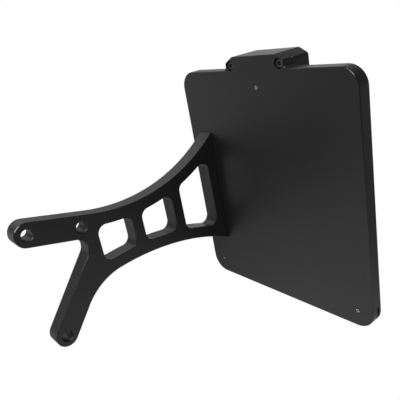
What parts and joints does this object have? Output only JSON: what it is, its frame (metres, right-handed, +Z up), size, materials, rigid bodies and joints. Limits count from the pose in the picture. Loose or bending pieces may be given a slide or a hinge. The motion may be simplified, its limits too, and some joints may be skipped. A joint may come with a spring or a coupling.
{
  "type": "side mount license plate bracket",
  "caption": "Side mount plate bracket: a forked, windowed arm carrying an upright number plate holder with a lamp along its top edge",
  "frame": {"origin": "centre of the front mounting bore, in the arm's inner face, which seats on the frame of the bike", "axes": "+X to the rear along the arm, +Y towards the bike (the arm lies at -Y, on the bike's left), +Z up"},
  "size_m": [0.2248, 0.186, 0.2159],
  "materials": {
    "anodised": "satin black anodised, milled",
    "black_steel": "black oxide",
    "steel": "plain stainless",
    "board": "solder mask",
    "diode": "clear resin over phosphor",
    "lens": "clear polycarbonate",
    "rubber": "moulded"
  },
  "bodies": {
    "root": {"arm": "anodised", "plate_holder": "anodised", "lamp_housing": "anodised", "led_board": "board", "led_left": "diode", "led_middle": "diode", "led_right": "diode", "lens_seal": "rubber", "lamp_lens": "lens", "lens_screw_left": "steel", "lens_screw_right": "steel", "cable_grommet": "rubber", "lamp_screw_left": "black_steel", "lamp_screw_right": "black_steel", "clamp_screw_top": "steel", "clamp_screw_left": "steel", "clamp_screw_right": "steel", "arm_screw_upper": "black_steel", "arm_screw_middle": "black_steel", "arm_screw_lower": "black_steel", "dowel_upper": "steel", "dowel_lower": "steel"}
  },
  "joints": []
}
